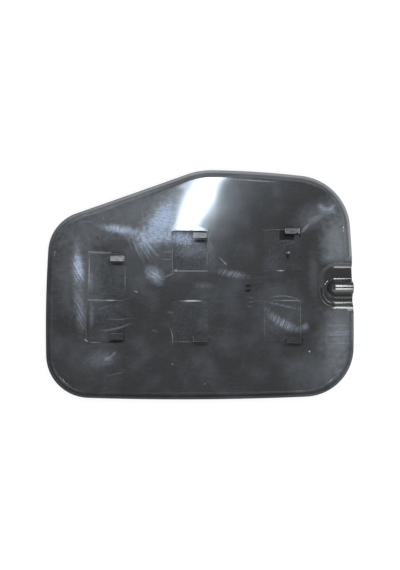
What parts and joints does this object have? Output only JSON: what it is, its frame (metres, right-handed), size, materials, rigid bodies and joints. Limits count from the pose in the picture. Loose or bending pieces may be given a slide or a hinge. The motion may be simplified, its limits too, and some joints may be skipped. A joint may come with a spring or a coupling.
{
  "type": "car fuel door panel",
  "caption": "Rounded, slant-topped fuel door panel with a low rim, seat pads and hooks for a hinge plate on its inner face, and a ridged pull at one edge.",
  "frame": {"origin": "under the middle of the panel's outline, where the crowned outer face touches the ground", "axes": "+X along the panel towards the pull, +Y up the panel as it hangs on the car, +Z from the outer face to the inner face with the hooks"},
  "size_m": [0.19, 0.1439, 0.0086],
  "materials": {
    "black_plastic": "gloss black as moulded, with hazy scuffs and fine swirl scratches on the inner face"
  },
  "bodies": {
    "root": {"fuel_door_panel": "black_plastic"}
  },
  "joints": []
}
